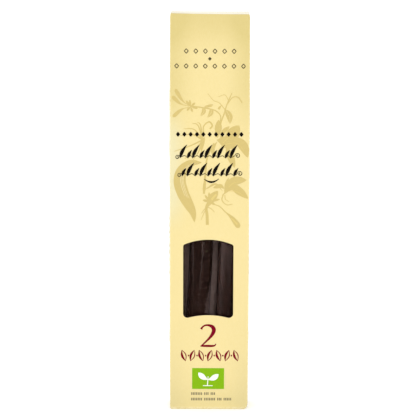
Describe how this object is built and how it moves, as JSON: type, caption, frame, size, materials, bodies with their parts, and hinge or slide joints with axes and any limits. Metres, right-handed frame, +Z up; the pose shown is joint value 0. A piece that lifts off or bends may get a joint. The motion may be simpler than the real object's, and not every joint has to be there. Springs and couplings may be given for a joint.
{
  "type": "window carton of vanilla pods",
  "caption": "Tall slim printed card carton with an arched film window that shows the dark dried vanilla pods inside.",
  "frame": {"origin": "middle of the bottom face, at the foot of the carton", "axes": "+X across the front to its right, +Y from the front panel to the back panel, +Z up along the carton"},
  "size_m": [0.034, 0.015, 0.173],
  "materials": {
    "printed_card": "pale yellow printed folding card with a gloss varnish, grey-brown board on the cut edges and inside",
    "clear_film": "thin clear film with soft lengthwise ripples",
    "pod_skin": "oily, finely wrinkled, near-black brown dried pod skin"
  },
  "bodies": {
    "root": {"carton": "printed_card", "window_film": "clear_film", "pod_left": "pod_skin", "pod_right": "pod_skin"}
  },
  "joints": []
}
